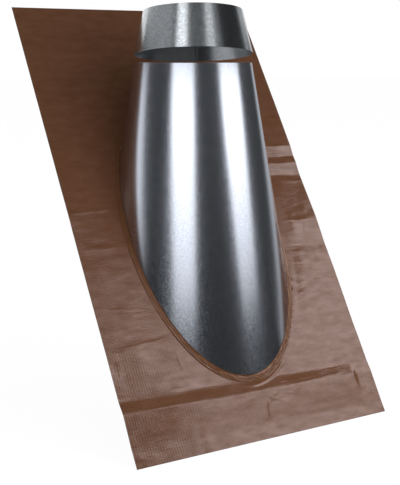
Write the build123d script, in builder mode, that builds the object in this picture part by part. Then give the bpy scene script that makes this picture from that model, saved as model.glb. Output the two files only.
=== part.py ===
"""Pitched-roof flue flashing: a steel cone seamed into a malleable sheet, with its storm collar.

The flue's axis is Z. The roof passes through the origin and rises towards +Y, so the
sheet's underside is the roof plane and the low edge of the sheet is on the -Y side.
"""

import os
from math import atan, cos, degrees, radians, sin, sqrt, tan

from build123d import *

# ---- Driving sizes, millimetres and degrees ----

roof_pitch = 56.0
flue_diameter = 203.0

# Malleable flashing sheet
sheet_width = 600.0
sheet_above_flue = 490.0    # up the slope, from the flue's axis to the head edge
sheet_below_flue = 545.0    # down the slope, from the flue's axis to the apron's edge
sheet_gauge = 1.2

# Fold pressed across the whole sheet, just below the cone's toe
fold_rise = 3.5
fold_rising_length = 29.0   # down the slope, from the flat field to the crest
fold_falling_length = 34.0  # down the slope, from the crest to the flat apron
fold_radius = 20.0
fold_from_seam = 1.0        # from the seam at the toe to where the fold starts

# Cone
cone_rim_diameter = 250.0
cone_rim_height = 288.0     # above the point where the flue's axis meets the roof
cone_taper = 9.9            # between the wall and the flue's axis
steel_gauge = 0.8

# Seam round the cone: the sheet's edge is pleated and wrapped over the cone's out-turned foot
seam_width = 10.0
seam_clearance = 0.1        # between the steel and the sheet that wraps it
seam_edge_radius = 1.0

# Grooved lock seams that close the rolled cone and the rolled collar
lock_seam_width = 9.0
lock_seam_layers = 2        # folded layers that stand proud of the wall
lock_seam_stop = 4.0        # the cone's lock seam ends this far above the sheet

# Storm collar, lifted off the cone and tipped, as it is before it slides down the flue
collar_height = 90.0
collar_lift = 17.0          # from the cone's rim to the middle of the collar's lower edge
collar_tip = 7.0            # the edge nearest the eaves is raised by this angle
collar_tip_turn = 23.0      # the highest edge faces this far round from the eaves towards -X
collar_seam_turn = 33.0     # its lock seam stands this far round from the back towards +X
collar_overhang = 1.0       # the collar's lower edge is this much wider than the rim, each side
flue_clearance = 3.2        # round the flue at the collar's upper edge, closed with sealant

# ---- Sizes that follow ----

pitch_sin = sin(radians(roof_pitch))
pitch_cos = cos(radians(roof_pitch))
cone_slope = tan(radians(cone_taper))
cone_wall = steel_gauge / cos(radians(cone_taper))
lock_seam_rise = lock_seam_layers * steel_gauge
rim_radius = cone_rim_diameter / 2

# Levels off the roof plane, through the layers of the seam
pleat_top = 2 * sheet_gauge
foot_bottom = pleat_top + seam_clearance
foot_top = foot_bottom + steel_gauge
slot_top = foot_top + seam_clearance
seam_top = slot_top + sheet_gauge

# Sketches on the roof plane run across and up the slope, and sketches on the
# slope section run up the slope and off the roof.
roof = Plane(origin=(0, 0, 0), x_dir=(1, 0, 0), z_dir=(0, -pitch_sin, pitch_cos))
slope_section = Plane(origin=(0, 0, 0), x_dir=(0, pitch_cos, pitch_sin), z_dir=(1, 0, 0))
off_the_roof = Axis((0, 0, 0), (0, -pitch_sin, pitch_cos))


def cone_radius(height):
    """Outer radius of the cone's wall at a height above the origin."""
    return rim_radius + (cone_rim_height - height) * cone_slope


def cone_outline(level):
    """Centre up the slope and both semi-axes of the ellipse that the cone cuts at a level off the roof."""
    apex_height = cone_radius(level / pitch_cos) / cone_slope
    spread = sqrt(pitch_cos**2 - (cone_slope * pitch_sin) ** 2)
    across = apex_height * cone_slope * pitch_cos / spread
    along = across / spread
    centre = level * pitch_sin / pitch_cos - apex_height * cone_slope**2 * pitch_sin / spread**2
    return centre, across, along


def radial_plane(angle):
    """Plane through the flue's axis: its X runs outward at the angle and its Y is upward."""
    across, forward = cos(radians(angle)), sin(radians(angle))
    return Plane(origin=(0, 0, 0), x_dir=(across, forward, 0), z_dir=(forward, -across, 0))


def foot_outline(margin):
    """Ellipse round the cone's foot, wider than the foot by the margin at its four quarters."""
    with Locations((0, foot_centre)):
        Ellipse(foot_across + margin, foot_along + margin)


foot_centre, foot_across, foot_along = cone_outline(foot_top)
toe = foot_centre - foot_along
cone_floor = (toe - seam_width) * pitch_sin - seam_top

fold_start = toe - seam_width - fold_from_seam
fold_crest = fold_start - fold_rising_length
fold_end = fold_crest - fold_falling_length

heel_centre, heel_across, heel_along = cone_outline(seam_top)
heel_height = (heel_centre + heel_along) * pitch_sin + seam_top * pitch_cos
cone_seam_bottom = heel_height + lock_seam_rise * pitch_sin / pitch_cos + lock_seam_stop
cone_seam_arc = degrees(lock_seam_width / rim_radius)

collar_bottom_height = cone_rim_height + collar_lift
collar_top_height = collar_bottom_height + collar_height
collar_bottom_inside = rim_radius + collar_overhang - steel_gauge
collar_top_inside = flue_diameter / 2 + flue_clearance
collar_slope = (collar_bottom_inside - collar_top_inside) / collar_height
collar_wall = steel_gauge / cos(atan(collar_slope))
collar_seam_arc = degrees(lock_seam_width / collar_top_inside)
collar_middle = (0, 0, collar_bottom_height + collar_height / 2)
tip_axis = Axis(collar_middle, (-cos(radians(collar_tip_turn)), sin(radians(collar_tip_turn)), 0))

os.makedirs("parts", exist_ok=True)

# ---- Flashing sheet: one piece, with the fold and the seam worked into it ----

with BuildPart() as flashing_sheet:
    # The pleated edge starts as a pad as wide as the seam
    with BuildSketch(roof):
        foot_outline(seam_width)
    extrude(amount=seam_top)
    fillet(flashing_sheet.faces().sort_by(off_the_roof)[-1].edges(), radius=seam_edge_radius)

    # Flat field, fold and apron, from the head edge down
    with BuildSketch(slope_section):
        with BuildLine():
            FilletPolyline(
                (sheet_above_flue, 0),
                (fold_start, 0),
                (fold_crest, fold_rise),
                (fold_end, 0),
                (-sheet_below_flue, 0),
                radius=fold_radius,
            )
            offset(amount=sheet_gauge, side=Side.RIGHT)
        make_face()
    extrude(amount=sheet_width / 2, both=True)

    # Slot that the cone's foot is wrapped in
    with BuildSketch(roof.offset(pleat_top)):
        foot_outline(seam_width - sheet_gauge)
    extrude(amount=slot_top - pleat_top, mode=Mode.SUBTRACT)

    # Opening, which follows the cone's wall
    with BuildSketch(Plane.XZ):
        with BuildLine():
            Polyline(
                (0, cone_floor),
                (cone_radius(cone_floor) + seam_clearance, cone_floor),
                (rim_radius + seam_clearance, cone_rim_height),
                (0, cone_rim_height),
                close=True,
            )
        make_face()
    revolve(axis=Axis.Z, mode=Mode.SUBTRACT)

flashing_sheet.part.label = "flashing_sheet"
export_step(flashing_sheet.part, "parts/flashing_sheet.step")

# ---- Cone: rolled steel, cut to the roof's slope, with its foot turned out along the roof ----

with BuildPart() as flue_cone:
    # Rolled wall
    with BuildSketch(Plane.XZ):
        with BuildLine():
            Polyline(
                (cone_radius(cone_floor), cone_floor),
                (rim_radius, cone_rim_height),
                (rim_radius - cone_wall, cone_rim_height),
                (cone_radius(cone_floor) - cone_wall, cone_floor),
                close=True,
            )
        make_face()
    revolve(axis=Axis.Z)
    split(bisect_by=roof.offset(foot_bottom), keep=Keep.TOP)

    # Foot turned out along the roof
    with BuildSketch(roof.offset(foot_bottom)):
        foot_outline(seam_width - sheet_gauge - seam_clearance)
    extrude(amount=steel_gauge)
    with BuildSketch(Plane.XZ):
        with BuildLine():
            Polyline(
                (0, cone_floor),
                (cone_radius(cone_floor) - cone_wall, cone_floor),
                (rim_radius - cone_wall, cone_rim_height),
                (0, cone_rim_height),
                close=True,
            )
        make_face()
    revolve(axis=Axis.Z, mode=Mode.SUBTRACT)

    # Grooved lock seam up the back, outside the wall
    with BuildSketch(radial_plane(90 - cone_seam_arc / 2)):
        with BuildLine():
            Polyline(
                (cone_radius(cone_seam_bottom) - cone_wall / 2, cone_seam_bottom),
                (cone_radius(cone_seam_bottom) + lock_seam_rise, cone_seam_bottom),
                (rim_radius + lock_seam_rise, cone_rim_height),
                (rim_radius - cone_wall / 2, cone_rim_height),
                close=True,
            )
        make_face()
    revolve(axis=Axis.Z, revolution_arc=cone_seam_arc)

flue_cone.part.label = "flue_cone"
export_step(flue_cone.part, "parts/flue_cone.step")

# ---- Storm collar: a short rolled cone that closes the gap round the flue ----

with BuildPart() as storm_collar:
    with BuildSketch(Plane.XZ):
        with BuildLine():
            Polyline(
                (collar_bottom_inside, collar_bottom_height),
                (collar_bottom_inside + collar_wall, collar_bottom_height),
                (collar_top_inside + collar_wall, collar_top_height),
                (collar_top_inside, collar_top_height),
                close=True,
            )
        make_face()
    revolve(axis=Axis.Z)

    # Lock seam, inside the wall
    with BuildSketch(radial_plane(90 - collar_seam_turn - collar_seam_arc / 2)):
        with BuildLine():
            Polyline(
                (collar_bottom_inside - lock_seam_rise, collar_bottom_height),
                (collar_bottom_inside + collar_wall / 2, collar_bottom_height),
                (collar_top_inside + collar_wall / 2, collar_top_height),
                (collar_top_inside - lock_seam_rise, collar_top_height),
                close=True,
            )
        make_face()
    revolve(axis=Axis.Z, revolution_arc=collar_seam_arc)

tipped_collar = storm_collar.part.rotate(tip_axis, collar_tip)
tipped_collar.label = "storm_collar"
export_step(tipped_collar, "parts/storm_collar.step")
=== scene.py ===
"""Looks of the pitched-roof flue flashing: brown malleable sheet, zinc-coated cone and storm collar."""

import math

import bpy
import numpy as np
from mathutils import Matrix, Vector, noise


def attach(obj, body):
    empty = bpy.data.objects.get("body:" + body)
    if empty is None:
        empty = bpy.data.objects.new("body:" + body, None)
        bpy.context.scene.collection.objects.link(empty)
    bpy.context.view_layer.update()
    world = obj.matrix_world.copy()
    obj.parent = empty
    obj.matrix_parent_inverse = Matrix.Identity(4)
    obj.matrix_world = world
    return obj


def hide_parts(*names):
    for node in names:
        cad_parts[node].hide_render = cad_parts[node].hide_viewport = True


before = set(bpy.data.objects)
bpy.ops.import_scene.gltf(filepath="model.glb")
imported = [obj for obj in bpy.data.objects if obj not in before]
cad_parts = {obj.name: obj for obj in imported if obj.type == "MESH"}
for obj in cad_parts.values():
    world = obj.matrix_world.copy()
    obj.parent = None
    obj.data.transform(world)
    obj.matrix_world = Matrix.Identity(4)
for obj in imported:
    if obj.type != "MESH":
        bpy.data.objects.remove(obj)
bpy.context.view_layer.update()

# ---- Flashing sheet ----
# A web of stretched metal mesh between two layers of brown weatherproof coating, soft enough to be
# dressed over tiles by hand. It lies on the battens, carries the cone, and keeps the marks of having
# been rolled up, unrolled and pressed flat by hand.

roof_pitch = math.radians(56)
sheet_half_width = 0.300
sheet_head = 0.490
sheet_apron = -0.545
sheet_gauge = 0.0012

# The ellipse on the roof plane that the cone's foot follows
foot_centre = -0.08151
foot_across = 0.18038
foot_along = 0.33394
hole_margin = 0.004

# The sheet is a grid of cells, smaller in the stretches across and up the slope that hold creases
sheet_cell = 0.006
creased_cell = 0.0023
creased_across = ((-0.285, -0.262), (-0.160, -0.136), (-0.030, 0.080), (0.225, 0.280))
creased_slope = ((sheet_apron, 0.120),)

# Fold pressed across the sheet below the toe: places up the slope, and lift off the roof
fold_places = (-0.514, -0.4475, -0.4220)
fold_rise = 0.0045
fold_skew = 0.0225          # how far it climbs for each metre towards the left edge
fold_sinks = (0.246, 0.264)     # across, where it sinks near the right edge
fold_end_share = 0.35       # of its height, left beyond that place
fold_rounding = 0.008

# Tilt of the hand-flattened strips, in degrees, from each place down the slope to the next.
# A positive tilt leans the strip towards the eaves, so that it takes more sheen.
left_tilts = ((0.490, -0.2), (0.098, 0.7), (0.070, 0.1), (-0.016, 1.6), (-0.050, 0.5), (-0.098, 0.2),
              (-0.150, 0.4), (-0.240, 0.7), (-0.302, -1.8), (-0.313, 1.2), (-0.378, 0.4), (-0.423, 0.0),
              (-0.520, 0.6))
right_tilts = ((0.490, -0.55), (0.111, 4.6), (0.082, -4.0), (0.066, 5.0), (0.036, -2.2), (0.018, -2.1),
               (-0.080, 2.3), (-0.143, -1.1), (-0.188, 0.3), (-0.196, -0.3), (-0.232, 0.6), (-0.330, 0.1),
               (-0.423, 0.0), (-0.500, -0.8))
tilt_rounding = 0.003
side_split = 0.05           # the two sides' strips blend over this distance from the middle
strip_wander = 0.005        # how far the strips' borders wander up and down the slope
wander_swells = (16.0, 12.0, 5.0)   # in a metre across and up the slope, and seed

# Creases: start and end on the sheet (across, up the slope), height and width in millimetres
creases = (
    (-0.284, -0.316, -0.154, -0.304, 0.3, 4), (-0.155, -0.306, -0.151, -0.336, 0.15, 4),
    (-0.151, -0.336, -0.147, -0.375, 0.18, 5), (-0.291, -0.338, -0.288, -0.365, -0.3, 7),
    (-0.290, -0.016, -0.210, -0.015, 0.3, 3), (-0.278, 0.098, -0.173, 0.097, 0.25, 3),
    (-0.290, -0.098, -0.215, -0.100, 0.2, 5), (-0.291, -0.227, -0.167, -0.244, 0.25, 4),
    (-0.253, -0.243, -0.187, -0.248, 0.3, 3), (-0.217, -0.260, -0.186, -0.263, 0.25, 3),
    (-0.263, -0.126, -0.258, -0.201, 0.15, 6),
    (0.240, 0.111, 0.300, 0.111, 0.21, 3), (0.223, 0.066, 0.262, 0.065, 0.21, 3),
    (0.258, 0.019, 0.300, 0.018, 0.21, 3), (0.205, -0.014, 0.226, -0.021, 0.25, 3),
    (0.190, -0.078, 0.298, -0.084, 0.25, 3), (0.201, -0.135, 0.247, -0.141, 0.17, 3),
    (0.247, -0.141, 0.295, -0.138, 0.17, 3), (0.188, -0.145, 0.224, -0.146, 0.25, 3),
    (0.188, -0.151, 0.294, -0.171, 0.14, 6), (0.186, -0.180, 0.226, -0.181, 0.21, 3),
    (0.184, -0.186, 0.224, -0.187, -0.14, 3), (0.218, -0.226, 0.296, -0.231, 0.21, 4),
    (0.175, -0.253, 0.232, -0.247, 0.21, 3), (0.179, -0.258, 0.229, -0.254, -0.14, 3),
    (0.266, -0.086, 0.248, -0.132, 0.21, 4), (0.160, -0.271, 0.214, -0.268, 0.21, 3),
    (0.196, -0.303, 0.240, -0.306, 0.17, 3), (0.192, -0.312, 0.236, -0.314, -0.08, 3),
    (0.203, -0.320, 0.238, -0.322, 0.14, 3), (0.238, -0.268, 0.290, -0.262, 0.14, 4),
    (0.255, -0.430, 0.245, -0.470, 0.13, 4), (0.243, -0.478, 0.232, -0.520, 0.08, 4),
    (0.258, -0.385, 0.254, -0.430, 0.14, 5), (0.060, -0.437, 0.150, -0.439, 0.25, 3),
    (0.120, -0.447, 0.215, -0.444, 0.3, 3), (0.160, -0.433, 0.245, -0.431, 0.17, 3),
    (-0.050, -0.449, 0.030, -0.447, 0.3, 3), (-0.250, -0.440, -0.140, -0.444, 0.2, 4),
    (0.023, -0.469, 0.013, -0.508, 0.5, 4), (0.013, -0.508, 0.002, -0.545, 0.2, 4),
    (-0.020, -0.492, -0.026, -0.545, -0.2, 4),
    (0.045, -0.459, 0.028, -0.466, 0.7, 4), (0.028, -0.466, 0.050, -0.474, 0.5, 3),
    (-0.040, -0.465, -0.010, -0.459, 0.4, 3), (0.062, -0.459, 0.082, -0.466, 0.5, 3),
    (0.024, -0.474, 0.072, -0.472, -0.25, 3), (0.072, -0.472, 0.066, -0.530, -0.2, 4),
)
crease_tails = (0.006, 0.008)       # a crease fades between these distances outside and inside its ends
crease_wobble = 0.0009      # how far it strays from its straight line
wobble_rate = 170.0         # radians in a metre along it
wobble_phase = 900.0        # radians for each metre up the slope, so that no two stray alike

# Second crimp line, outside the seam at the toe and lower right. Angles run round the foot's ellipse.
crimp_distance = 0.0175
crimp_lift = 0.0012
crimp_width = 0.0028
crimp_middle = -0.95
crimp_reach = (0.45, 0.85)  # whole up to the first angle from its middle, and gone at the second

# Waves left by the hand: how many in a metre across and up the slope, lift and seed
hand_waves = ((9.0, 24.0, 0.00050, 3.0), (24.0, 74.0, 0.00018, 11.0), (62.0, 28.0, 0.00010, 17.0))
right_waves = 1.2           # how much stronger they are on the right side
waves_end = (0.0, 0.2)      # they die out between these places up the slope
edge_waves = 0.0006
edge_depth = 0.03           # how far in from the sides the edges are wavy
# How far apart the two edges lie in the noise, swells in a metre up the slope, and seed
edge_swells = (4.0, 9.0, 0.5)
flat_near_seam = (0.010, 0.052)     # marks grow from nothing to whole between these distances


def smooth(values, start, end):
    """0 before the start, 1 after the end, and an even curve between them."""
    share = np.clip((values - start) / (end - start), 0, 1)
    return share * share * (3 - 2 * share)


def swells(across, slope, per_across, per_slope, seed):
    """Even noise over the sheet, with so many swells in a metre each way."""
    spots = zip(across * per_across, slope * per_slope)
    return np.array([noise.noise(Vector((u, v, seed))) for u, v in spots])


def along_slope(places, lifts, rounding):
    """A profile up the slope through these points, rounded where they meet."""
    step = 0.0005
    beyond = 0.05
    ladder = np.arange(sheet_apron - beyond, sheet_head + beyond, step)
    brush = np.hanning(max(3, int(2 * rounding / step)))
    return ladder, np.convolve(np.interp(ladder, places, lifts), brush / brush.sum(), mode="same")


def tilted_strips(tilts):
    """The profile of strips with these tilts, levelled at both ends of the sheet."""
    places = [place for place, _ in tilts] + [sheet_apron]
    lifts = [0.0]
    for (upper, tilt), lower in zip(tilts, places[1:]):
        lifts.append(lifts[-1] - math.tan(math.radians(tilt)) * (upper - lower))
    lifts = np.array(lifts)
    lifts -= np.interp(places, [sheet_apron, tilts[1][0]], [lifts[-1], 0.0])
    return along_slope(places[::-1], lifts[::-1], tilt_rounding)


def seam_distance(across, slope):
    """Rough distance outside the foot's ellipse."""
    share = np.sqrt((across / foot_across) ** 2 + ((slope - foot_centre) / foot_along) ** 2)
    reach = np.hypot(across, slope - foot_centre)
    return reach * (1 - 1 / np.maximum(share, 1e-6))


def crease_lift(across, slope, crease):
    """How far one crease lifts the sheet: a soft ridge along its line, or a groove if it is negative."""
    across_start, slope_start, across_end, slope_end, height, width = crease
    run = np.array((across_end - across_start, slope_end - slope_start))
    length = np.hypot(*run)
    run /= length
    along = (across - across_start) * run[0] + (slope - slope_start) * run[1]
    aside = -(across - across_start) * run[1] + (slope - slope_start) * run[0]
    aside = aside + crease_wobble * np.sin(along * wobble_rate + slope_start * wobble_phase)
    outside, inside = crease_tails
    begun = smooth(along, -outside, inside)
    ended = smooth(along, length - inside, length + outside)
    return height / 1000 * np.exp(-((aside * 1000 / width) ** 2) * 2) * (begun * (1 - ended))


def sheet_lift(across, slope):
    """How far the sheet's surface stands off the flat, at places on the roof plane."""
    ladder, fold = along_slope((-1, *fold_places, 1), (0, 0, fold_rise, 0, 0), fold_rounding)
    sunk = (1 - fold_end_share) * smooth(across, *fold_sinks)
    lift = np.interp(slope + fold_skew * across, ladder, fold) * (1 - sunk)

    # Strips on both sides
    right_share = smooth(across, -side_split, side_split)
    bent = slope + strip_wander * swells(across, slope, *wander_swells)
    marks = np.interp(bent, *tilted_strips(left_tilts)) * (1 - right_share)
    marks += np.interp(bent, *tilted_strips(right_tilts)) * right_share

    for crease in creases:
        marks = marks + crease_lift(across, slope, crease)

    below_flue = 1 - smooth(slope, *waves_end)
    stronger = 1 + (right_waves - 1) * right_share
    for per_across, per_slope, height, seed in hand_waves:
        waves = swells(across, slope, per_across, per_slope, seed)
        marks = marks + height * waves * below_flue * stronger
    edge = smooth(np.abs(across), sheet_half_width - edge_depth, sheet_half_width)
    marks = marks + edge_waves * edge * swells(np.sign(across), slope, *edge_swells)

    # The sheet is flat where the seam holds it, apart from the crimp line outside the seam
    outside = seam_distance(across, slope)
    turn = np.arctan2((slope - foot_centre) / foot_along, across / foot_across)
    crimped = 1 - smooth(np.abs(turn - crimp_middle), *crimp_reach)
    crimp = crimp_lift * np.exp(-(((outside - crimp_distance) / crimp_width) ** 2)) * crimped
    return lift + marks * smooth(outside, *flat_near_seam) + crimp


def on_roof(across, slope, off):
    """Points of the shared frame from places on the roof plane and heights off it."""
    cosine, sine = math.cos(roof_pitch), math.sin(roof_pitch)
    return np.stack((across, slope * cosine - off * sine, slope * sine + off * cosine), axis=-1)


def linear(colour):
    """An sRGB hex colour as linear RGBA."""
    parts = [int(colour[i:i + 2], 16) / 255 for i in (1, 3, 5)]
    return [c / 12.92 if c <= 0.04045 else ((c + 0.055) / 1.055) ** 2.4 for c in parts] + [1.0]


def add(tree, kind, settings=None, links=None):
    """Adds a node with its own settings, and links or sets its inputs by name or number."""
    made = tree.nodes.new(kind)
    for name, value in (settings or {}).items():
        setattr(made, name, value)
    for socket, value in (links or {}).items():
        if isinstance(value, bpy.types.NodeSocket):
            tree.links.new(value, made.inputs[socket])
        else:
            made.inputs[socket].default_value = value
    return made


def new_material(name):
    """An empty material and its output node."""
    material = bpy.data.materials.new(name)
    material.use_nodes = True
    material.node_tree.nodes.clear()
    return material, material.node_tree, add(material.node_tree, "ShaderNodeOutputMaterial")


# Coated mesh sheet: an elastomer film rolled on to stretched metal. It has a satin sheen, and the
# mesh telegraphs through as a fine square grid, pressed in deeper here and there.
mesh_pitch = 0.0055
cross_wire_share = 0.8              # the wires across the sheet stand out less
pressed_patch = 1 / 14              # of a metre, so 71 mm
roller_streak = (1 / 60, 1 / 230)   # 17 mm across the sheet by 4 mm
hand_smear = (1 / 26, 1 / 62)       # 38 mm across the sheet by 16 mm
coated_sheet, tree, output = new_material("brown elastomer coating, rolled over metal mesh")
place = add(tree, "ShaderNodeTexCoord").outputs["UV"]
to_mesh = add(tree, "ShaderNodeMapping", links={
    "Vector": place, "Scale": (1 / mesh_pitch, 1 / mesh_pitch, 1),
})
# A wave texture repeats every pi / 10 at scale 1, so this scale draws one wire in each pitch
wires = []
for direction in ("X", "Y"):
    wires.append(add(tree, "ShaderNodeTexWave", {"bands_direction": direction, "wave_profile": "SIN"}, {
        "Vector": to_mesh.outputs["Vector"], "Scale": math.pi / 10, "Distortion": 1.6, "Detail": 1.5,
        "Detail Scale": 0.3,
    }).outputs["Fac"])
cross_wire = add(tree, "ShaderNodeMath", {"operation": "MULTIPLY"}, {0: wires[1], 1: cross_wire_share})
grid = add(tree, "ShaderNodeMath", {"operation": "MAXIMUM"}, {0: wires[0], 1: cross_wire.outputs[0]})
patches = add(tree, "ShaderNodeTexNoise", links={"Vector": place, "Scale": 1 / pressed_patch, "Detail": 3.0})
pressed_in = add(tree, "ShaderNodeMapRange", links={
    "Value": patches.outputs["Fac"], "From Min": 0.35, "From Max": 0.65, "To Min": 0.3, "To Max": 1.0,
})
grid = add(tree, "ShaderNodeMath", {"operation": "MULTIPLY"}, {0: grid.outputs[0], 1: pressed_in.outputs[0]})
streaks = add(tree, "ShaderNodeMapping", links={
    "Vector": place, "Scale": (1 / roller_streak[0], 1 / roller_streak[1], 1),
})
rolled = add(tree, "ShaderNodeTexNoise", links={
    "Vector": streaks.outputs["Vector"], "Scale": 1.0, "Detail": 3.0,
})
web = add(tree, "ShaderNodeBump", links={
    "Height": grid.outputs[0], "Distance": 0.00008, "Strength": 1.0,
})
ripple = add(tree, "ShaderNodeBump", links={
    "Height": rolled.outputs["Fac"], "Distance": 0.00012, "Strength": 1.0, "Normal": web.outputs["Normal"],
})
# Handling has left dull smears and glossier rubbed spots, drawn out across the sheet
smeared = add(tree, "ShaderNodeMapping", links={
    "Vector": place, "Scale": (1 / hand_smear[0], 1 / hand_smear[1], 1),
})
smears = add(tree, "ShaderNodeTexNoise", links={
    "Vector": smeared.outputs["Vector"], "Scale": 1.0, "Detail": 5.0, "Roughness": 0.62,
})
tone = add(tree, "ShaderNodeMix", {"data_type": "RGBA"}, {
    "Factor": smears.outputs["Fac"], 6: linear("#4F301E"), 7: linear("#684632"),
})
gloss = add(tree, "ShaderNodeMapRange", links={
    "Value": smears.outputs["Fac"], "From Min": 0.35, "From Max": 0.65, "To Min": 0.36, "To Max": 0.58,
})
sheen = add(tree, "ShaderNodeMapRange", links={
    "Value": patches.outputs["Fac"], "From Min": 0.3, "From Max": 0.7, "To Min": 0.11, "To Max": 0.19,
})
coating = add(tree, "ShaderNodeBsdfPrincipled", links={
    "Base Color": tone.outputs[2], "Roughness": sheen.outputs[0], "IOR": 1.5,
    "Normal": ripple.outputs["Normal"], "Specular IOR Level": gloss.outputs[0],
    "Specular Tint": linear("#FFECE8"),
})
tree.links.new(coating.outputs[0], output.inputs["Surface"])

# Underside: the same coating against its release film, dull and darker
under_sheet, tree, output = new_material("brown coating, matt underside")
dull = add(tree, "ShaderNodeBsdfPrincipled", links={
    "Base Color": linear("#3A2A22"), "Roughness": 0.75, "IOR": 1.5,
})
tree.links.new(dull.outputs[0], output.inputs["Surface"])

# Cut edge: guillotined, with the dark core showing
cut_sheet, tree, output = new_material("coated mesh, guillotined edge")
core = add(tree, "ShaderNodeBsdfPrincipled", links={
    "Base Color": linear("#35241B"), "Roughness": 0.6, "IOR": 1.5,
})
tree.links.new(core.outputs[0], output.inputs["Surface"])


def give_gauge(piece, gauge, under=0, rim=0):
    """Gives a skin its thickness, inwards from its outer face, with crisp rims. The last two numbers
    are how far down the piece's list the materials of its inner face and of its rims come."""
    wall = piece.modifiers.new("gauge", "SOLIDIFY")
    wall.thickness = gauge
    wall.offset = -1
    wall.material_offset = under
    wall.material_offset_rim = rim
    bpy.context.view_layer.update()
    solid = bpy.data.meshes.new_from_object(piece.evaluated_get(bpy.context.evaluated_depsgraph_get()))
    piece.modifiers.remove(wall)
    piece.data = solid
    solid.set_sharp_from_angle(angle=math.radians(40))


def cell_lines(start, end, creased):
    """Places of the grid's lines, closer together in the creased stretches."""
    ladder = np.linspace(start, end, 4000)
    density = np.full(ladder.shape, 1 / sheet_cell)
    for low, high in creased:
        density[(ladder >= low) & (ladder <= high)] = 1 / creased_cell
    count = np.concatenate(([0], np.cumsum((density[1:] + density[:-1]) / 2 * np.diff(ladder))))
    return np.interp(np.linspace(0, count[-1], round(count[-1]) + 1), count, ladder)


# Cells of the sheet, with those inside the seam left out and the rim of the hole drawn to an ellipse
grid_across, grid_slope = np.meshgrid(
    cell_lines(-sheet_half_width, sheet_half_width, creased_across),
    cell_lines(sheet_apron, sheet_head, creased_slope),
)
rows, columns = grid_across.shape
hole = np.hypot(
    grid_across / (foot_across + hole_margin),
    (grid_slope - foot_centre) / (foot_along + hole_margin),
)
solid = hole >= 1
kept = solid[:-1, :-1] & solid[1:, :-1] & solid[:-1, 1:] & solid[1:, 1:]
touched = np.zeros_like(solid)
cut = np.zeros_like(solid)
for row_step in (0, 1):
    for column_step in (0, 1):
        part = (slice(row_step, rows - 1 + row_step), slice(column_step, columns - 1 + column_step))
        touched[part] |= kept
        cut[part] |= ~kept
rim = touched & cut
grid_across[rim] = grid_across[rim] / hole[rim]
grid_slope[rim] = foot_centre + (grid_slope[rim] - foot_centre) / hole[rim]
number = np.full(solid.shape, -1)
number[touched] = np.arange(touched.sum())
faces = np.stack((number[:-1, :-1], number[:-1, 1:], number[1:, 1:], number[1:, :-1]), axis=-1)[kept]
across, slope = grid_across[touched], grid_slope[touched]
points = on_roof(across, slope, sheet_gauge + sheet_lift(across, slope))

flat_sheet = bpy.data.meshes.new("flashing_sheet_looks")
flat_sheet.from_pydata(points.tolist(), [], faces.tolist())
corner = np.zeros(len(flat_sheet.loops), int)
flat_sheet.loops.foreach_get("vertex_index", corner)
flat_sheet.uv_layers.new(name="UVMap").data.foreach_set(
    "uv", np.stack((across[corner], slope[corner]), axis=-1).ravel()
)
for finish in (coated_sheet, under_sheet, cut_sheet):
    flat_sheet.materials.append(finish)
flat_sheet.polygons.foreach_set("use_smooth", [True] * len(flat_sheet.polygons))
sheet = bpy.data.objects.new("flashing_sheet_looks", flat_sheet)
bpy.context.scene.collection.objects.link(sheet)
give_gauge(sheet, sheet_gauge, under=1, rim=2)
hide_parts("flashing_sheet")
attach(sheet, "root")

# ---- Seam ----
# The sheet's own edge, pleated and wrapped over the cone's turned-out foot and dressed down with a
# seaming tool. It reads as a rounded bead, tighter and more crumpled round the toe.

seam_width = 0.010
seam_height = 0.0046
seam_clearance = 0.0001
cone_rim_radius = 0.125
cone_rim_height = 0.288
cone_slope = math.tan(math.radians(9.9))

# Section of the bead, from the outer lower edge over the top to the wall and back beneath the foot:
# share of the way over, place outside the foot in seam widths, and height in seam heights
bead = ((0.0, 0.97, 0.08), (0.10, 1.0, 0.28), (0.19, 0.97, 0.48), (0.28, 0.87, 0.60), (0.36, 0.72, 0.66),
        (0.45, 0.55, 0.70), (0.53, 0.40, 0.76), (0.61, 0.24, 0.88), (0.69, 0.05, 0.96), (0.77, -0.45, 0.86),
        (0.84, -0.6, 0.5), (0.90, -0.4, 0.08), (1.0, 0.97, 0.08))


def new_tree(name, sizes):
    """A Geometry Nodes tree with these named inputs, and its group input node."""
    kinds = {float: "NodeSocketFloat", int: "NodeSocketInt", Vector: "NodeSocketVector"}
    tree = bpy.data.node_groups.new(name, "GeometryNodeTree")
    tree.interface.new_socket("Geometry", in_out="OUTPUT", socket_type="NodeSocketGeometry")
    for label, value in sizes.items():
        kind = kinds.get(type(value), "NodeSocketMaterial")
        tree.interface.new_socket(label, in_out="INPUT", socket_type=kind)
    return tree, add(tree, "NodeGroupInput").outputs


def finish_tree(tree, geometry, material):
    """Ends the tree: smooth faces, real instances, and the material."""
    smoothed = add(tree, "GeometryNodeSetShadeSmooth", links={0: geometry})
    real = add(tree, "GeometryNodeRealizeInstances", links={0: smoothed.outputs[0]})
    painted = add(tree, "GeometryNodeSetMaterial", links={"Geometry": real.outputs[0], "Material": material})
    add(tree, "NodeGroupOutput", links={0: painted.outputs[0]})


def grown(name, tree, sizes):
    """The plain mesh that a tree makes from these sizes, as an object."""
    seed = bpy.data.objects.new(name, bpy.data.meshes.new(name))
    bpy.context.scene.collection.objects.link(seed)
    grow = seed.modifiers.new("grow", "NODES")
    grow.node_group = tree
    for item in tree.interface.items_tree:
        if item.in_out == "INPUT":
            grow[item.identifier] = sizes[item.name]
    bpy.context.view_layer.update()
    result = bpy.data.meshes.new_from_object(seed.evaluated_get(bpy.context.evaluated_depsgraph_get()))
    seed.modifiers.remove(grow)
    seed.data = result
    return seed


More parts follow.
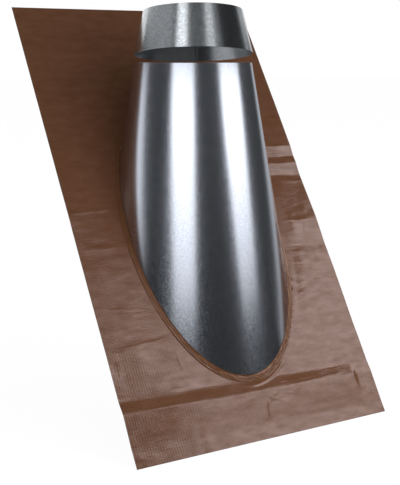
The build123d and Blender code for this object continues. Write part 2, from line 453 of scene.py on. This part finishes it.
# Wrapped coating: stretched and rubbed smooth by the seaming tool, so the brown is warmer
worn_patch = 1 / 45         # of a metre, so 22 mm
wrapped_edge, tree, output = new_material("brown elastomer coating, stretched and rubbed")
place = add(tree, "ShaderNodeTexCoord").outputs["Object"]
worn = add(tree, "ShaderNodeTexNoise", links={"Vector": place, "Scale": 1 / worn_patch, "Detail": 2.0})
tone = add(tree, "ShaderNodeMix", {"data_type": "RGBA"}, {
    "Factor": worn.outputs["Fac"], 6: linear("#4E301D"), 7: linear("#633F27"),
})
rubbed = add(tree, "ShaderNodeBsdfPrincipled", links={
    "Base Color": tone.outputs[2], "Roughness": 0.17, "IOR": 1.5,
    "Specular Tint": linear("#FFE6D6"),
})
tree.links.new(rubbed.outputs[0], output.inputs["Surface"])

seam_sizes = {
    "Across": foot_across, "Along": foot_along, "Centre": foot_centre, "Width": seam_width,
    "Height": seam_height, "Pitch": roof_pitch, "Rim Radius": cone_rim_radius,
    "Rim Height": cone_rim_height, "Taper": cone_slope, "Clearance": seam_clearance, "Round": 900,
    "Over": 41, "Crumple": 0.0068, "Crumples Round": 34.0, "Crumples Over": 8.0, "Calm Place": -0.18,
    "Toe Place": -0.38, "Calm Share": 0.22, "Seed": 4.0, "Material": wrapped_edge,
}
tree, size = new_tree("wrapped seam", seam_sizes)
sleeve = add(tree, "GeometryNodeMeshGrid", links={
    "Size X": 1.0, "Size Y": 1.0, "Vertices X": size["Round"], "Vertices Y": size["Over"],
})
around_over = add(tree, "ShaderNodeSeparateXYZ", links={0: sleeve.outputs["UV Map"]})
around, over = around_over.outputs[:2]
angle = add(tree, "ShaderNodeMath", {"operation": "MULTIPLY"}, {0: around, 1: 2 * math.pi}).outputs[0]
margin = add(tree, "ShaderNodeFloatCurve", links={"Value": over})
height = add(tree, "ShaderNodeFloatCurve", links={"Value": over})
for curve_node, column in ((margin, 1), (height, 2)):
    mapping = curve_node.mapping
    mapping.use_clip = False
    curve = mapping.curves[0]
    curve.points[0].location = (bead[0][0], bead[0][column])
    curve.points[1].location = (bead[-1][0], bead[-1][column])
    for row in bead[1:-1]:
        curve.points.new(row[0], row[column])
    for point in curve.points:
        point.handle_type = "AUTO_CLAMPED"
    mapping.update()
spread = add(tree, "ShaderNodeMath", {"operation": "MULTIPLY"}, {
    0: margin.outputs[0], 1: size["Width"],
}).outputs[0]
radii = []
for semi_axis, turn in ((size["Across"], "COSINE"), (size["Along"], "SINE")):
    reach = add(tree, "ShaderNodeMath", {"operation": "ADD"}, {0: semi_axis, 1: spread}).outputs[0]
    swing = add(tree, "ShaderNodeMath", {"operation": turn}, {0: angle}).outputs[0]
    radii.append(add(tree, "ShaderNodeMath", {"operation": "MULTIPLY"}, {0: reach, 1: swing}).outputs[0])
slope_place = add(tree, "ShaderNodeMath", {"operation": "ADD"}, {0: radii[1], 1: size["Centre"]}).outputs[0]
bead_height = add(tree, "ShaderNodeMath", {"operation": "MULTIPLY"}, {
    0: height.outputs[0], 1: size["Height"],
}).outputs[0]
bead_place = add(tree, "ShaderNodeCombineXYZ", links={0: radii[0], 1: slope_place, 2: bead_height})
laid = add(tree, "GeometryNodeSetPosition", links={
    "Geometry": sleeve.outputs["Mesh"], "Position": bead_place.outputs[0],
})
# Crumples: long along the seam and short across it, strongest at the toe
crumple_round = add(tree, "ShaderNodeMath", {"operation": "MULTIPLY"}, {0: around, 1: size["Crumples Round"]})
crumple_over = add(tree, "ShaderNodeMath", {"operation": "MULTIPLY"}, {0: over, 1: size["Crumples Over"]})
crumple_place = add(tree, "ShaderNodeCombineXYZ", links={
    0: crumple_round.outputs[0], 1: crumple_over.outputs[0],
})
crumple = add(tree, "ShaderNodeTexNoise", {"noise_dimensions": "4D"}, {
    "Vector": crumple_place.outputs[0], "W": size["Seed"], "Scale": 1.6, "Detail": 2.0,
})
at_toe = add(tree, "ShaderNodeMapRange", {"interpolation_type": "SMOOTHSTEP"}, {
    "Value": slope_place, "From Min": size["Calm Place"], "From Max": size["Toe Place"],
    "To Min": size["Calm Share"], "To Max": 1.0,
})
raised = add(tree, "ShaderNodeMath", {"operation": "SUBTRACT"}, {0: crumple.outputs[0], 1: 0.5}).outputs[0]
swell = add(tree, "ShaderNodeMath", {"operation": "MULTIPLY"}, {0: raised, 1: at_toe.outputs[0]}).outputs[0]
above = add(tree, "ShaderNodeMath", {"operation": "MULTIPLY"}, {0: swell, 1: height.outputs[0]}).outputs[0]
push = add(tree, "ShaderNodeMath", {"operation": "MULTIPLY"}, {0: above, 1: size["Crumple"]}).outputs[0]
pressed = add(tree, "GeometryNodeSetPosition", links={
    "Geometry": laid.outputs[0], "Offset": add(tree, "ShaderNodeCombineXYZ", links={2: push}).outputs[0],
})
tilted = add(tree, "GeometryNodeTransform", links={
    "Geometry": pressed.outputs[0],
    "Rotation": add(tree, "ShaderNodeCombineXYZ", links={0: size["Pitch"]}).outputs[0],
})
# No point of the bead lies inside the cone's wall: those that would are moved out to it
here = add(tree, "GeometryNodeInputPosition").outputs[0]
here = add(tree, "ShaderNodeSeparateXYZ", links={0: here}).outputs
level_place = add(tree, "ShaderNodeCombineXYZ", links={0: here[0], 1: here[1]}).outputs[0]
from_axis = add(tree, "ShaderNodeVectorMath", {"operation": "LENGTH"}, {0: level_place}).outputs["Value"]
below_rim = add(tree, "ShaderNodeMath", {"operation": "SUBTRACT"}, {
    0: size["Rim Height"], 1: here[2],
}).outputs[0]
widened = add(tree, "ShaderNodeMath", {"operation": "MULTIPLY_ADD"}, {
    0: below_rim, 1: size["Taper"], 2: size["Rim Radius"],
}).outputs[0]
wall_radius = add(tree, "ShaderNodeMath", {"operation": "ADD"}, {0: widened, 1: size["Clearance"]}).outputs[0]
nearest = add(tree, "ShaderNodeMath", {"operation": "MAXIMUM"}, {0: from_axis, 1: wall_radius}).outputs[0]
stretch = add(tree, "ShaderNodeMath", {"operation": "DIVIDE"}, {0: nearest, 1: from_axis}).outputs[0]
moved = add(tree, "ShaderNodeVectorMath", {"operation": "SCALE"}, {0: level_place, "Scale": stretch})
moved = add(tree, "ShaderNodeSeparateXYZ", links={0: moved.outputs[0]}).outputs
fitted = add(tree, "GeometryNodeSetPosition", links={
    "Geometry": tilted.outputs[0],
    "Position": add(tree, "ShaderNodeCombineXYZ", links={0: moved[0], 1: moved[1], 2: here[2]}).outputs[0],
})
joined = add(tree, "GeometryNodeMergeByDistance", links={"Geometry": fitted.outputs[0], "Distance": 1e-6})
finish_tree(tree, joined.outputs[0], size["Material"])
seam = grown("wrapped_seam", tree, seam_sizes)
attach(seam, "root")

# ---- Cone ----
# Zinc-coated steel sheet, rolled into a taper, closed by a grooved lock seam at the back and cut to
# the roof's slope. Its turned-out foot lies inside the seam above.

steel_gauge = 0.0008
cone_cut_level = 0.0006     # how far off the roof plane the wall is cut, inside the seam

# Rolled zinc-coated steel: bright metal with a satin grain from the rolls, so reflections run up it
# in soft-edged bands. The fine grain of zinc crystals that breaks them up is drawn coarse, to show.
crystal_cloud = 1 / 300     # of a metre, so 3.3 mm
rolled_zinc, tree, output = new_material("hot-dip zinc-coated steel, skin-passed and rolled")
place = add(tree, "ShaderNodeTexCoord").outputs["Object"]
clouds = add(tree, "ShaderNodeTexNoise", links={"Vector": place, "Scale": 1 / crystal_cloud, "Detail": 3.0})
glint = add(tree, "ShaderNodeMix", {"data_type": "RGBA"}, {
    "Factor": clouds.outputs["Fac"], 6: linear("#B6BAC7"), 7: linear("#F0F2F8"),
})
satin = add(tree, "ShaderNodeMapRange", links={
    "Value": clouds.outputs["Fac"], "From Min": 0.35, "From Max": 0.65, "To Min": 0.18, "To Max": 0.25,
})
grain = add(tree, "ShaderNodeBump", links={
    "Height": clouds.outputs["Fac"], "Distance": 0.000005, "Strength": 1.0,
})
zinc = add(tree, "ShaderNodeBsdfPrincipled", links={
    "Base Color": glint.outputs[2], "Metallic": 1.0, "Roughness": satin.outputs[0],
    "Normal": grain.outputs["Normal"],
})
tree.links.new(zinc.outputs[0], output.inputs["Surface"])

cone_sizes = {
    "Upper Radius": cone_rim_radius, "Upper Height": cone_rim_height, "Taper": cone_slope,
    "Cut Pitch": roof_pitch, "Cut Level": cone_cut_level, "Waviness": 0.00018, "Seed": 2.0,
    "Round": 257, "Rows": 70, "Material": rolled_zinc,
}
rolled_wall, size = new_tree("rolled wall, cut to a slope", cone_sizes)
tree = rolled_wall
flat_wall = add(tree, "GeometryNodeMeshGrid", links={
    "Size X": 1.0, "Size Y": 1.0, "Vertices X": size["Round"], "Vertices Y": size["Rows"],
})
around, up = add(tree, "ShaderNodeSeparateXYZ", links={0: flat_wall.outputs["UV Map"]}).outputs[:2]
# The wall starts and closes at the back, where the lock seam is
angle = add(tree, "ShaderNodeMath", {"operation": "MULTIPLY_ADD"}, {
    0: around, 1: 2 * math.pi, 2: math.pi / 2,
}).outputs[0]
cosine = add(tree, "ShaderNodeMath", {"operation": "COSINE"}, {0: angle}).outputs[0]
sine = add(tree, "ShaderNodeMath", {"operation": "SINE"}, {0: angle}).outputs[0]
# Height of the sloping cut at each angle
slope_rise = add(tree, "ShaderNodeMath", {"operation": "TANGENT"}, {0: size["Cut Pitch"]}).outputs[0]
slope_run = add(tree, "ShaderNodeMath", {"operation": "COSINE"}, {0: size["Cut Pitch"]}).outputs[0]
rise = add(tree, "ShaderNodeMath", {"operation": "MULTIPLY"}, {0: slope_rise, 1: sine}).outputs[0]
reach = add(tree, "ShaderNodeMath", {"operation": "MULTIPLY_ADD"}, {
    0: size["Upper Height"], 1: size["Taper"], 2: size["Upper Radius"],
}).outputs[0]
level = add(tree, "ShaderNodeMath", {"operation": "DIVIDE"}, {0: size["Cut Level"], 1: slope_run}).outputs[0]
above = add(tree, "ShaderNodeMath", {"operation": "MULTIPLY_ADD"}, {0: rise, 1: reach, 2: level}).outputs[0]
below = add(tree, "ShaderNodeMath", {"operation": "MULTIPLY_ADD"}, {
    0: rise, 1: size["Taper"], 2: 1.0,
}).outputs[0]
lower = add(tree, "ShaderNodeMath", {"operation": "DIVIDE"}, {0: above, 1: below}).outputs[0]
height = add(tree, "ShaderNodeMapRange", links={
    "Value": up, "To Min": lower, "To Max": size["Upper Height"],
}).outputs[0]
drop = add(tree, "ShaderNodeMath", {"operation": "SUBTRACT"}, {0: size["Upper Height"], 1: height}).outputs[0]
radius = add(tree, "ShaderNodeMath", {"operation": "MULTIPLY_ADD"}, {
    0: drop, 1: size["Taper"], 2: size["Upper Radius"],
}).outputs[0]
# Waviness left by the rolls, long up the wall and the same at both ends of the sheet
roll_place = add(tree, "ShaderNodeCombineXYZ", links={0: cosine, 1: sine, 2: height}).outputs[0]
rolls = add(tree, "ShaderNodeTexNoise", {"noise_dimensions": "4D"}, {
    "Vector": roll_place, "W": size["Seed"], "Scale": 3.2, "Detail": 1.0,
})
off_round = add(tree, "ShaderNodeMath", {"operation": "SUBTRACT"}, {0: rolls.outputs[0], 1: 0.5}).outputs[0]
radius = add(tree, "ShaderNodeMath", {"operation": "MULTIPLY_ADD"}, {
    0: off_round, 1: size["Waviness"], 2: radius,
}).outputs[0]
wall_across = add(tree, "ShaderNodeMath", {"operation": "MULTIPLY"}, {0: radius, 1: cosine}).outputs[0]
wall_forward = add(tree, "ShaderNodeMath", {"operation": "MULTIPLY"}, {0: radius, 1: sine}).outputs[0]
wall_place = add(tree, "ShaderNodeCombineXYZ", links={0: wall_across, 1: wall_forward, 2: height})
rolled_up = add(tree, "GeometryNodeSetPosition", links={
    "Geometry": flat_wall.outputs["Mesh"], "Position": wall_place.outputs[0],
})
joined = add(tree, "GeometryNodeMergeByDistance", links={"Geometry": rolled_up.outputs[0], "Distance": 1e-6})
finish_tree(tree, joined.outputs[0], size["Material"])
cone = grown("flue_cone_looks", rolled_wall, cone_sizes)
give_gauge(cone, steel_gauge)
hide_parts("flue_cone")
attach(cone, "root")

# Grooved lock seam: two hooked edges pressed into one flat strip outside the wall. It ends above the
# sheet at the heel, and just short of the rim.
lock_seam_foot = 0.2193     # height of its lower end
lock_seam_inset = 0.0004    # how far inside a rim it stops
lock_foot_radius = cone_rim_radius + (cone_rim_height - lock_seam_foot) * cone_slope
lock_sizes = {
    "Start": Vector((0.0, lock_foot_radius, lock_seam_foot)),
    "End": Vector((0.0, cone_rim_radius, cone_rim_height - lock_seam_inset)),
    "Width": 0.009, "Rise": 0.0016, "Corner": 0.0005, "Sink": 0.0003, "Out": 1.0, "Material": rolled_zinc,
}
lock_seam, size = new_tree("grooved lock seam", lock_sizes)
tree = lock_seam
run = add(tree, "GeometryNodeCurvePrimitiveLine", links={"Start": size["Start"], "End": size["End"]})
section = add(tree, "GeometryNodeCurvePrimitiveQuadrilateral", links={
    "Width": size["Width"], "Height": size["Rise"],
})
eased = add(tree, "GeometryNodeFilletCurve", {"mode": "POLY"}, {
    "Curve": section.outputs[0], "Radius": size["Corner"], "Count": 3,
})
strip = add(tree, "GeometryNodeCurveToMesh", links={
    "Curve": run.outputs[0], "Profile Curve": eased.outputs[0], "Fill Caps": True,
})
# The strip's inner face sinks into the wall, and its middle moves out or in from the wall's face
half_rise = add(tree, "ShaderNodeMath", {"operation": "MULTIPLY"}, {0: size["Rise"], 1: 0.5}).outputs[0]
proud = add(tree, "ShaderNodeMath", {"operation": "SUBTRACT"}, {0: half_rise, 1: size["Sink"]}).outputs[0]
outward = add(tree, "ShaderNodeMath", {"operation": "MULTIPLY"}, {0: proud, 1: size["Out"]}).outputs[0]
seated = add(tree, "GeometryNodeTransform", links={
    "Geometry": strip.outputs[0],
    "Translation": add(tree, "ShaderNodeCombineXYZ", links={1: outward}).outputs[0],
})
finish_tree(tree, seated.outputs[0], size["Material"])
cone_seam = grown("cone_lock_seam", lock_seam, lock_sizes)
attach(cone_seam, "root")

# ---- Storm collar ----
# A short zinc-coated steel collar that is sealed to the flue and throws the rain clear of the cone's
# rim. It is shown lifted and tipped, as before it slides down the flue, with its own lock seam inside.

collar_bottom_height = 0.305
collar_top_height = 0.395
collar_bottom_radius = 0.126
collar_top_radius = 0.1055
collar_tip = math.radians(7)
collar_tip_turn = math.radians(23)
collar_seam_turn = math.radians(33)

# Hot-dip zinc with a visible spangle: crystals about 3 mm wide, each with its own tone and gloss
spangle_width = 1 / 330     # of a metre, so 3 mm
frost_cloud = 1 / 150       # 6.7 mm
spangled_zinc, tree, output = new_material("hot-dip zinc-coated steel, spangled")
place = add(tree, "ShaderNodeTexCoord").outputs["Object"]
spangle = add(tree, "ShaderNodeTexVoronoi", links={"Vector": place, "Scale": 1 / spangle_width})
flakes = add(tree, "ShaderNodeSeparateColor", links={0: spangle.outputs["Color"]})
clouds = add(tree, "ShaderNodeTexNoise", links={"Vector": place, "Scale": 1 / frost_cloud, "Detail": 2.0})
glint = add(tree, "ShaderNodeMix", {"data_type": "RGBA"}, {
    "Factor": flakes.outputs[0], 6: linear("#C8CBCD"), 7: linear("#DEE0E2"),
})
satin = add(tree, "ShaderNodeMapRange", links={
    "Value": flakes.outputs[1], "To Min": 0.21, "To Max": 0.25,
})
frost = add(tree, "ShaderNodeBump", links={
    "Height": clouds.outputs["Fac"], "Distance": 0.00002, "Strength": 1.0,
})
zinc = add(tree, "ShaderNodeBsdfPrincipled", links={
    "Base Color": glint.outputs[2], "Metallic": 1.0, "Roughness": satin.outputs[0],
    "Normal": frost.outputs["Normal"],
})
tree.links.new(zinc.outputs[0], output.inputs["Surface"])

collar_slope = (collar_bottom_radius - collar_top_radius) / (collar_top_height - collar_bottom_height)
tip_axis = Vector((-math.cos(collar_tip_turn), math.sin(collar_tip_turn), 0.0))
collar_middle = Matrix.Translation((0.0, 0.0, (collar_bottom_height + collar_top_height) / 2))
tipped = collar_middle @ Matrix.Rotation(collar_tip, 4, tip_axis) @ collar_middle.inverted()
seam_turned = Matrix.Rotation(-collar_seam_turn, 4, "Z")
collar = grown("storm_collar_looks", rolled_wall, {
    "Upper Radius": collar_top_radius, "Upper Height": collar_top_height, "Taper": collar_slope,
    "Cut Pitch": 0.0, "Cut Level": collar_bottom_height, "Waviness": 0.0002, "Seed": 7.0,
    "Round": 257, "Rows": 12, "Material": spangled_zinc,
})
give_gauge(collar, steel_gauge)
collar.data.transform(tipped @ seam_turned)
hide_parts("storm_collar")
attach(collar, "root")

collar_seam_foot = (0.0, collar_bottom_radius - steel_gauge, collar_bottom_height + lock_seam_inset)
collar_seam_head = (0.0, collar_top_radius - steel_gauge, collar_top_height - lock_seam_inset)
collar_seam = grown("collar_lock_seam", lock_seam, {
    **lock_sizes, "Start": Vector(collar_seam_foot), "End": Vector(collar_seam_head), "Out": -1.0,
    "Material": spangled_zinc,
})
collar_seam.data.transform(tipped @ seam_turned)
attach(collar_seam, "root")

# ---- Studio ----
# A white board for a floor in a white room, with soft boxes that light the object. Light, grey and
# dark cards, cloths and linings inside the boot light nothing, and show only as reflections. The
# linings inside the boot and the dark cloth under it are painted shade and painted reflections.

scene = bpy.context.scene
scene.view_settings.view_transform = "Standard"

camera_azimuth = math.radians(-30.74)
camera_elevation = math.radians(10.67)
camera_distance = 2.1234
camera_target = Vector((0.0, -0.0285, -0.0969))
back = Vector((
    math.sin(camera_azimuth) * math.cos(camera_elevation),
    -math.cos(camera_azimuth) * math.cos(camera_elevation),
    math.sin(camera_elevation),
))
camera_data = bpy.data.cameras.new("camera")
camera_data.lens = 72.41
camera_data.sensor_width = 36.0
camera = bpy.data.objects.new("camera", camera_data)
camera.location = camera_target + camera_distance * back
camera.rotation_euler = back.to_track_quat("Z", "Y").to_euler()
scene.collection.objects.link(camera)
scene.camera = camera


def shown(tree):
    """1 for rays that show a surface, straight or by a mirror or glass, and 0 for those that light one."""
    ray = add(tree, "ShaderNodeLightPath").outputs
    seen = add(tree, "ShaderNodeMath", {"operation": "MAXIMUM"}, {
        0: ray["Is Camera Ray"], 1: ray["Is Glossy Ray"],
    }).outputs[0]
    seen = add(tree, "ShaderNodeMath", {"operation": "MAXIMUM"}, {0: seen, 1: ray["Is Transmission Ray"]})
    return seen.outputs[0]


# Room: white to look at, and half as bright where it lights the object
room_light = 0.5
white_room = bpy.data.worlds.new("white room")
white_room.use_nodes = True
tree = white_room.node_tree
tree.nodes.clear()
level = add(tree, "ShaderNodeMapRange", links={"Value": shown(tree), "To Min": room_light, "To Max": 1.0})
sky = add(tree, "ShaderNodeBackground", links={"Color": (1, 1, 1, 1), "Strength": level.outputs[0]})
add(tree, "ShaderNodeOutputWorld", links={"Surface": sky.outputs[0]})
scene.world = white_room

# Floor: a white board that glows to look at, but for a share of paint that keeps a faint shadow
floor_level = -0.4525       # just below the sheet's lowest point
floor_reach = 30.0
floor_glow = 1.05
floor_glow_share = 0.9
floor_board, tree, output = new_material("white painted floor board")
share = add(tree, "ShaderNodeMath", {"operation": "MULTIPLY"}, {0: shown(tree), 1: floor_glow_share})
paint = add(tree, "ShaderNodeBsdfDiffuse", links={"Color": linear("#F2F2F2")})
glow = add(tree, "ShaderNodeEmission", links={"Color": (1, 1, 1, 1), "Strength": floor_glow})
both = add(tree, "ShaderNodeMixShader", links={0: share.outputs[0], 1: paint.outputs[0], 2: glow.outputs[0]})
tree.links.new(both.outputs[0], output.inputs["Surface"])
corners = ((-1, -1), (1, -1), (1, 1), (-1, 1))
floor_mesh = bpy.data.meshes.new("floor")
floor_mesh.from_pydata(
    [(x * floor_reach, y * floor_reach, floor_level) for x, y in corners], [], [(0, 1, 2, 3)]
)
floor_mesh.materials.append(floor_board)
floor = bpy.data.objects.new("floor", floor_mesh)
scene.collection.objects.link(floor)

# Soft boxes, cards, linings and cloths hang in arcs about the flue's axis. Each has a lower and an
# upper edge: its distance, then the turn from the camera's side (positive to the right) and the
# height of both ends.
arc_steps = 24
cloth_level = floor_level + 0.002
grey_cloth_level = floor_level + 0.001
dark = 0.028
cool_white = (0.94, 0.97, 1.0, 1)
hangings = (  # name, lower edge, upper edge, brightness at each edge, whether it lights the object
    ("left soft box", (2.6, -20, 0.0, 3.6, 0.0), (2.6, -42, 1.15, 1.8, 1.15), 0.9, 2.9, True),
    ("right soft box", (2.6, 57.5, -0.12, 79, -0.12), (2.6, 49.5, 1.08, 94.5, 0.85), 0.58, 3.2, True),
    ("high soft box", (12.0, 63.5, 6.1, 110, 6.1), (12.0, 62, 10.8, 110, 10.8), 3.6, 4.6, True),
    ("upper soft box", (5.0, 52, 4.5, 76, 4.6), (5.0, 52, 6.2, 76, 5.8), 1.9, 1.0, True),
    ("left grey card", (3.0, -84, -0.12, -57, -0.12), (3.0, -116, 0.88, -97, 0.88), 1.35, 0.95, False),
    ("high grey card", (2.6, -150, 0.95, -48, 1.7), (2.6, -150, 1.5, -48, 2.8), 1.0, 0.4, False),
    ("high left card", (2.6, -38, 1.95, -14, 1.95), (2.6, -38, 2.9, -14, 2.9), 1.9, 1.9, False),
    ("high dim card", (2.6, -14, 1.95, 30, 1.95), (2.6, -14, 2.9, 30, 2.9), 0.16, 0.16, False),
    ("high middle card", (2.6, 30, 1.95, 50, 1.95), (2.6, 30, 2.9, 50, 2.9), 1.0, 1.0, False),
    ("near dim card", (0.6, 46, 0.6, 58, 0.6), (0.6, 46, 0.95, 58, 0.95), 0.22, 0.22, False),
    ("near dark card", (0.6, 58, 0.55, 104, 0.5), (0.6, 58, 0.95, 104, 0.85), 0.032, 0.032, False),
    # Painted shade and painted reflections: glowing bands inside the boot that only the metal mirrors. The
    # dark and dim ones paint the shade inside it, and the light and grey ones paint reflected light.
    ("painted shade, dark lining in the boot", (0.136, -40, 0.19, -1, 0.19),
     (0.1205, -40, 0.2865, -1, 0.2865), 0.02, 0.02, False),
    ("painted shade, dim lining in the boot", (0.136, -1, 0.19, 125, 0.19),
     (0.1205, -1, 0.2865, 125, 0.2865), 0.065, 0.065, False),
    ("painted reflection, light lining in the boot", (0.136, -130, 0.19, -56, 0.19),
     (0.1205, -130, 0.2865, -56, 0.2865), 0.4, 0.45, False),
    ("painted reflection, grey lining in the boot", (0.136, -178, 0.19, -130, 0.19),
     (0.1205, -178, 0.2865, -130, 0.2865), 0.14, 0.14, False),
    ("high right card", (2.6, 126, 0.85, 152, 0.74), (2.6, 126, 1.35, 152, 1.25), 0.45, 0.45, False),
    ("dark floor cloth", (0.46, -100, cloth_level, 96, cloth_level),
     (2.0, -100, cloth_level, 106, cloth_level), dark, dark, False),
    ("dark outer floor cloth", (2.0, -100, cloth_level, 106, cloth_level),
     (4.4, -100, cloth_level, 121, cloth_level), dark, dark, False),
    ("dark far floor cloth", (4.4, -100, cloth_level, 121, cloth_level),
     (12.5, -100, cloth_level, 131, cloth_level), dark, dark, False),
    ("grey floor cloth", (0.46, 90, grey_cloth_level, 178, grey_cloth_level),
     (12.6, 90, grey_cloth_level, 178, grey_cloth_level), 0.5, 0.5, False),
    ("grey low cloth", (12.6, 120, floor_level, 178, floor_level),
     (12.6, 120, 1.6, 178, 1.6), 0.5, 0.5, False),
    ("dark low cloth", (12.5, -125, floor_level, 131, floor_level),
     (12.5, -125, 0.2, 142, 0.2), dark, 0.03, False),
    ("dark middle cloth", (12.5, -125, 0.2, 142, 0.2), (12.5, -125, 4.4, 166, 4.4), 0.03, 0.065, False),
    ("dark high cloth", (12.5, -125, 4.4, 160, 4.4), (12.5, -125, 11.0, 160, 11.0), 0.03, 0.05, False),
    ("dark ceiling", (12.5, -180, 11.0, 180, 11.0), (0.1, -180, 16.0, 180, 16.0), 0.065, 0.065, False),
)


def hang(name, points, faces, material, lights):
    """Hangs a soft box, card or cloth that only reflections show. It lights things only if told to."""
    mesh = bpy.data.meshes.new(name)
    mesh.from_pydata(points, [], faces)
    mesh.materials.append(material)
    hanging = bpy.data.objects.new(name, mesh)
    hanging.visible_camera = False
    hanging.visible_diffuse = lights
    hanging.visible_transmission = lights
    hanging.visible_shadow = False
    scene.collection.objects.link(hanging)
    return hanging


# The soft boxes are linked to every piece but the collar and its lock seam
lit_pieces = bpy.data.collections.new("lit by the soft boxes")
for lit in (sheet, seam, cone, cone_seam, floor):
    lit_pieces.objects.link(lit)
for name, lower, upper, dim, bright, lights in hangings:
    points = []
    for distance, first, first_height, last, last_height in (lower, upper):
        for share in np.linspace(0, 1, arc_steps):
            turn = camera_azimuth + math.radians(first + share * (last - first))
            height = first_height + share * (last_height - first_height)
            points.append((math.sin(turn) * distance, -math.cos(turn) * distance, height))
    faces = [(i, i + 1, arc_steps + i + 1, arc_steps + i) for i in range(arc_steps - 1)]
    glowing, tree, output = new_material(name)
    place = add(tree, "ShaderNodeTexCoord").outputs["Object"]
    level = add(tree, "ShaderNodeSeparateXYZ", links={0: place}).outputs[2]
    strength = add(tree, "ShaderNodeMapRange", links={
        "Value": level, "From Min": lower[2], "From Max": upper[2] + 0.001, "To Min": dim, "To Max": bright,
    })
    glow = add(tree, "ShaderNodeEmission", links={"Color": cool_white, "Strength": strength.outputs[0]})
    tree.links.new(glow.outputs[0], output.inputs["Surface"])
    hanging = hang(name, points, faces, glowing, lights)
    if lights:
        hanging.light_linking.receiver_collection = lit_pieces

# Painted shade: a dim glowing cloth under the hole in the roof, which only reflections show, so that the
# inside of the boot stays dark
cloth_half_width = 0.28
cloth_apron = -0.47
cloth_head = 0.35
cloth_drop = 0.02           # below the roof plane
cloth_across = np.array((-cloth_half_width, cloth_half_width, cloth_half_width, -cloth_half_width))
cloth_slope = np.array((cloth_apron, cloth_apron, cloth_head, cloth_head))
painted_shade_cloth, tree, output = new_material("painted shade, dark cloth under the boot")
glow = add(tree, "ShaderNodeEmission", links={"Color": (1, 1, 1, 1), "Strength": 0.05})
tree.links.new(glow.outputs[0], output.inputs["Surface"])
cloth_points = on_roof(cloth_across, cloth_slope, np.full(4, -cloth_drop)).tolist()
hang("painted shade, dark cloth under the boot", cloth_points, [(0, 1, 2, 3)], painted_shade_cloth, False)

# Fill: a soft light near the apron, which nothing mirrors
fill_light = bpy.data.lights.new("fill", "AREA")
fill_light.size = 1.0
fill_light.energy = 7.0
fill_place = Vector((0.27, -1.13, 0.25))
fill_target = Vector((0.0, -0.25, -0.3))
fill = bpy.data.objects.new("fill", fill_light)
fill.location = fill_place
fill.rotation_euler = (fill_place - fill_target).to_track_quat("Z", "Y").to_euler()
fill.visible_camera = False
fill.visible_glossy = False
scene.collection.objects.link(fill)
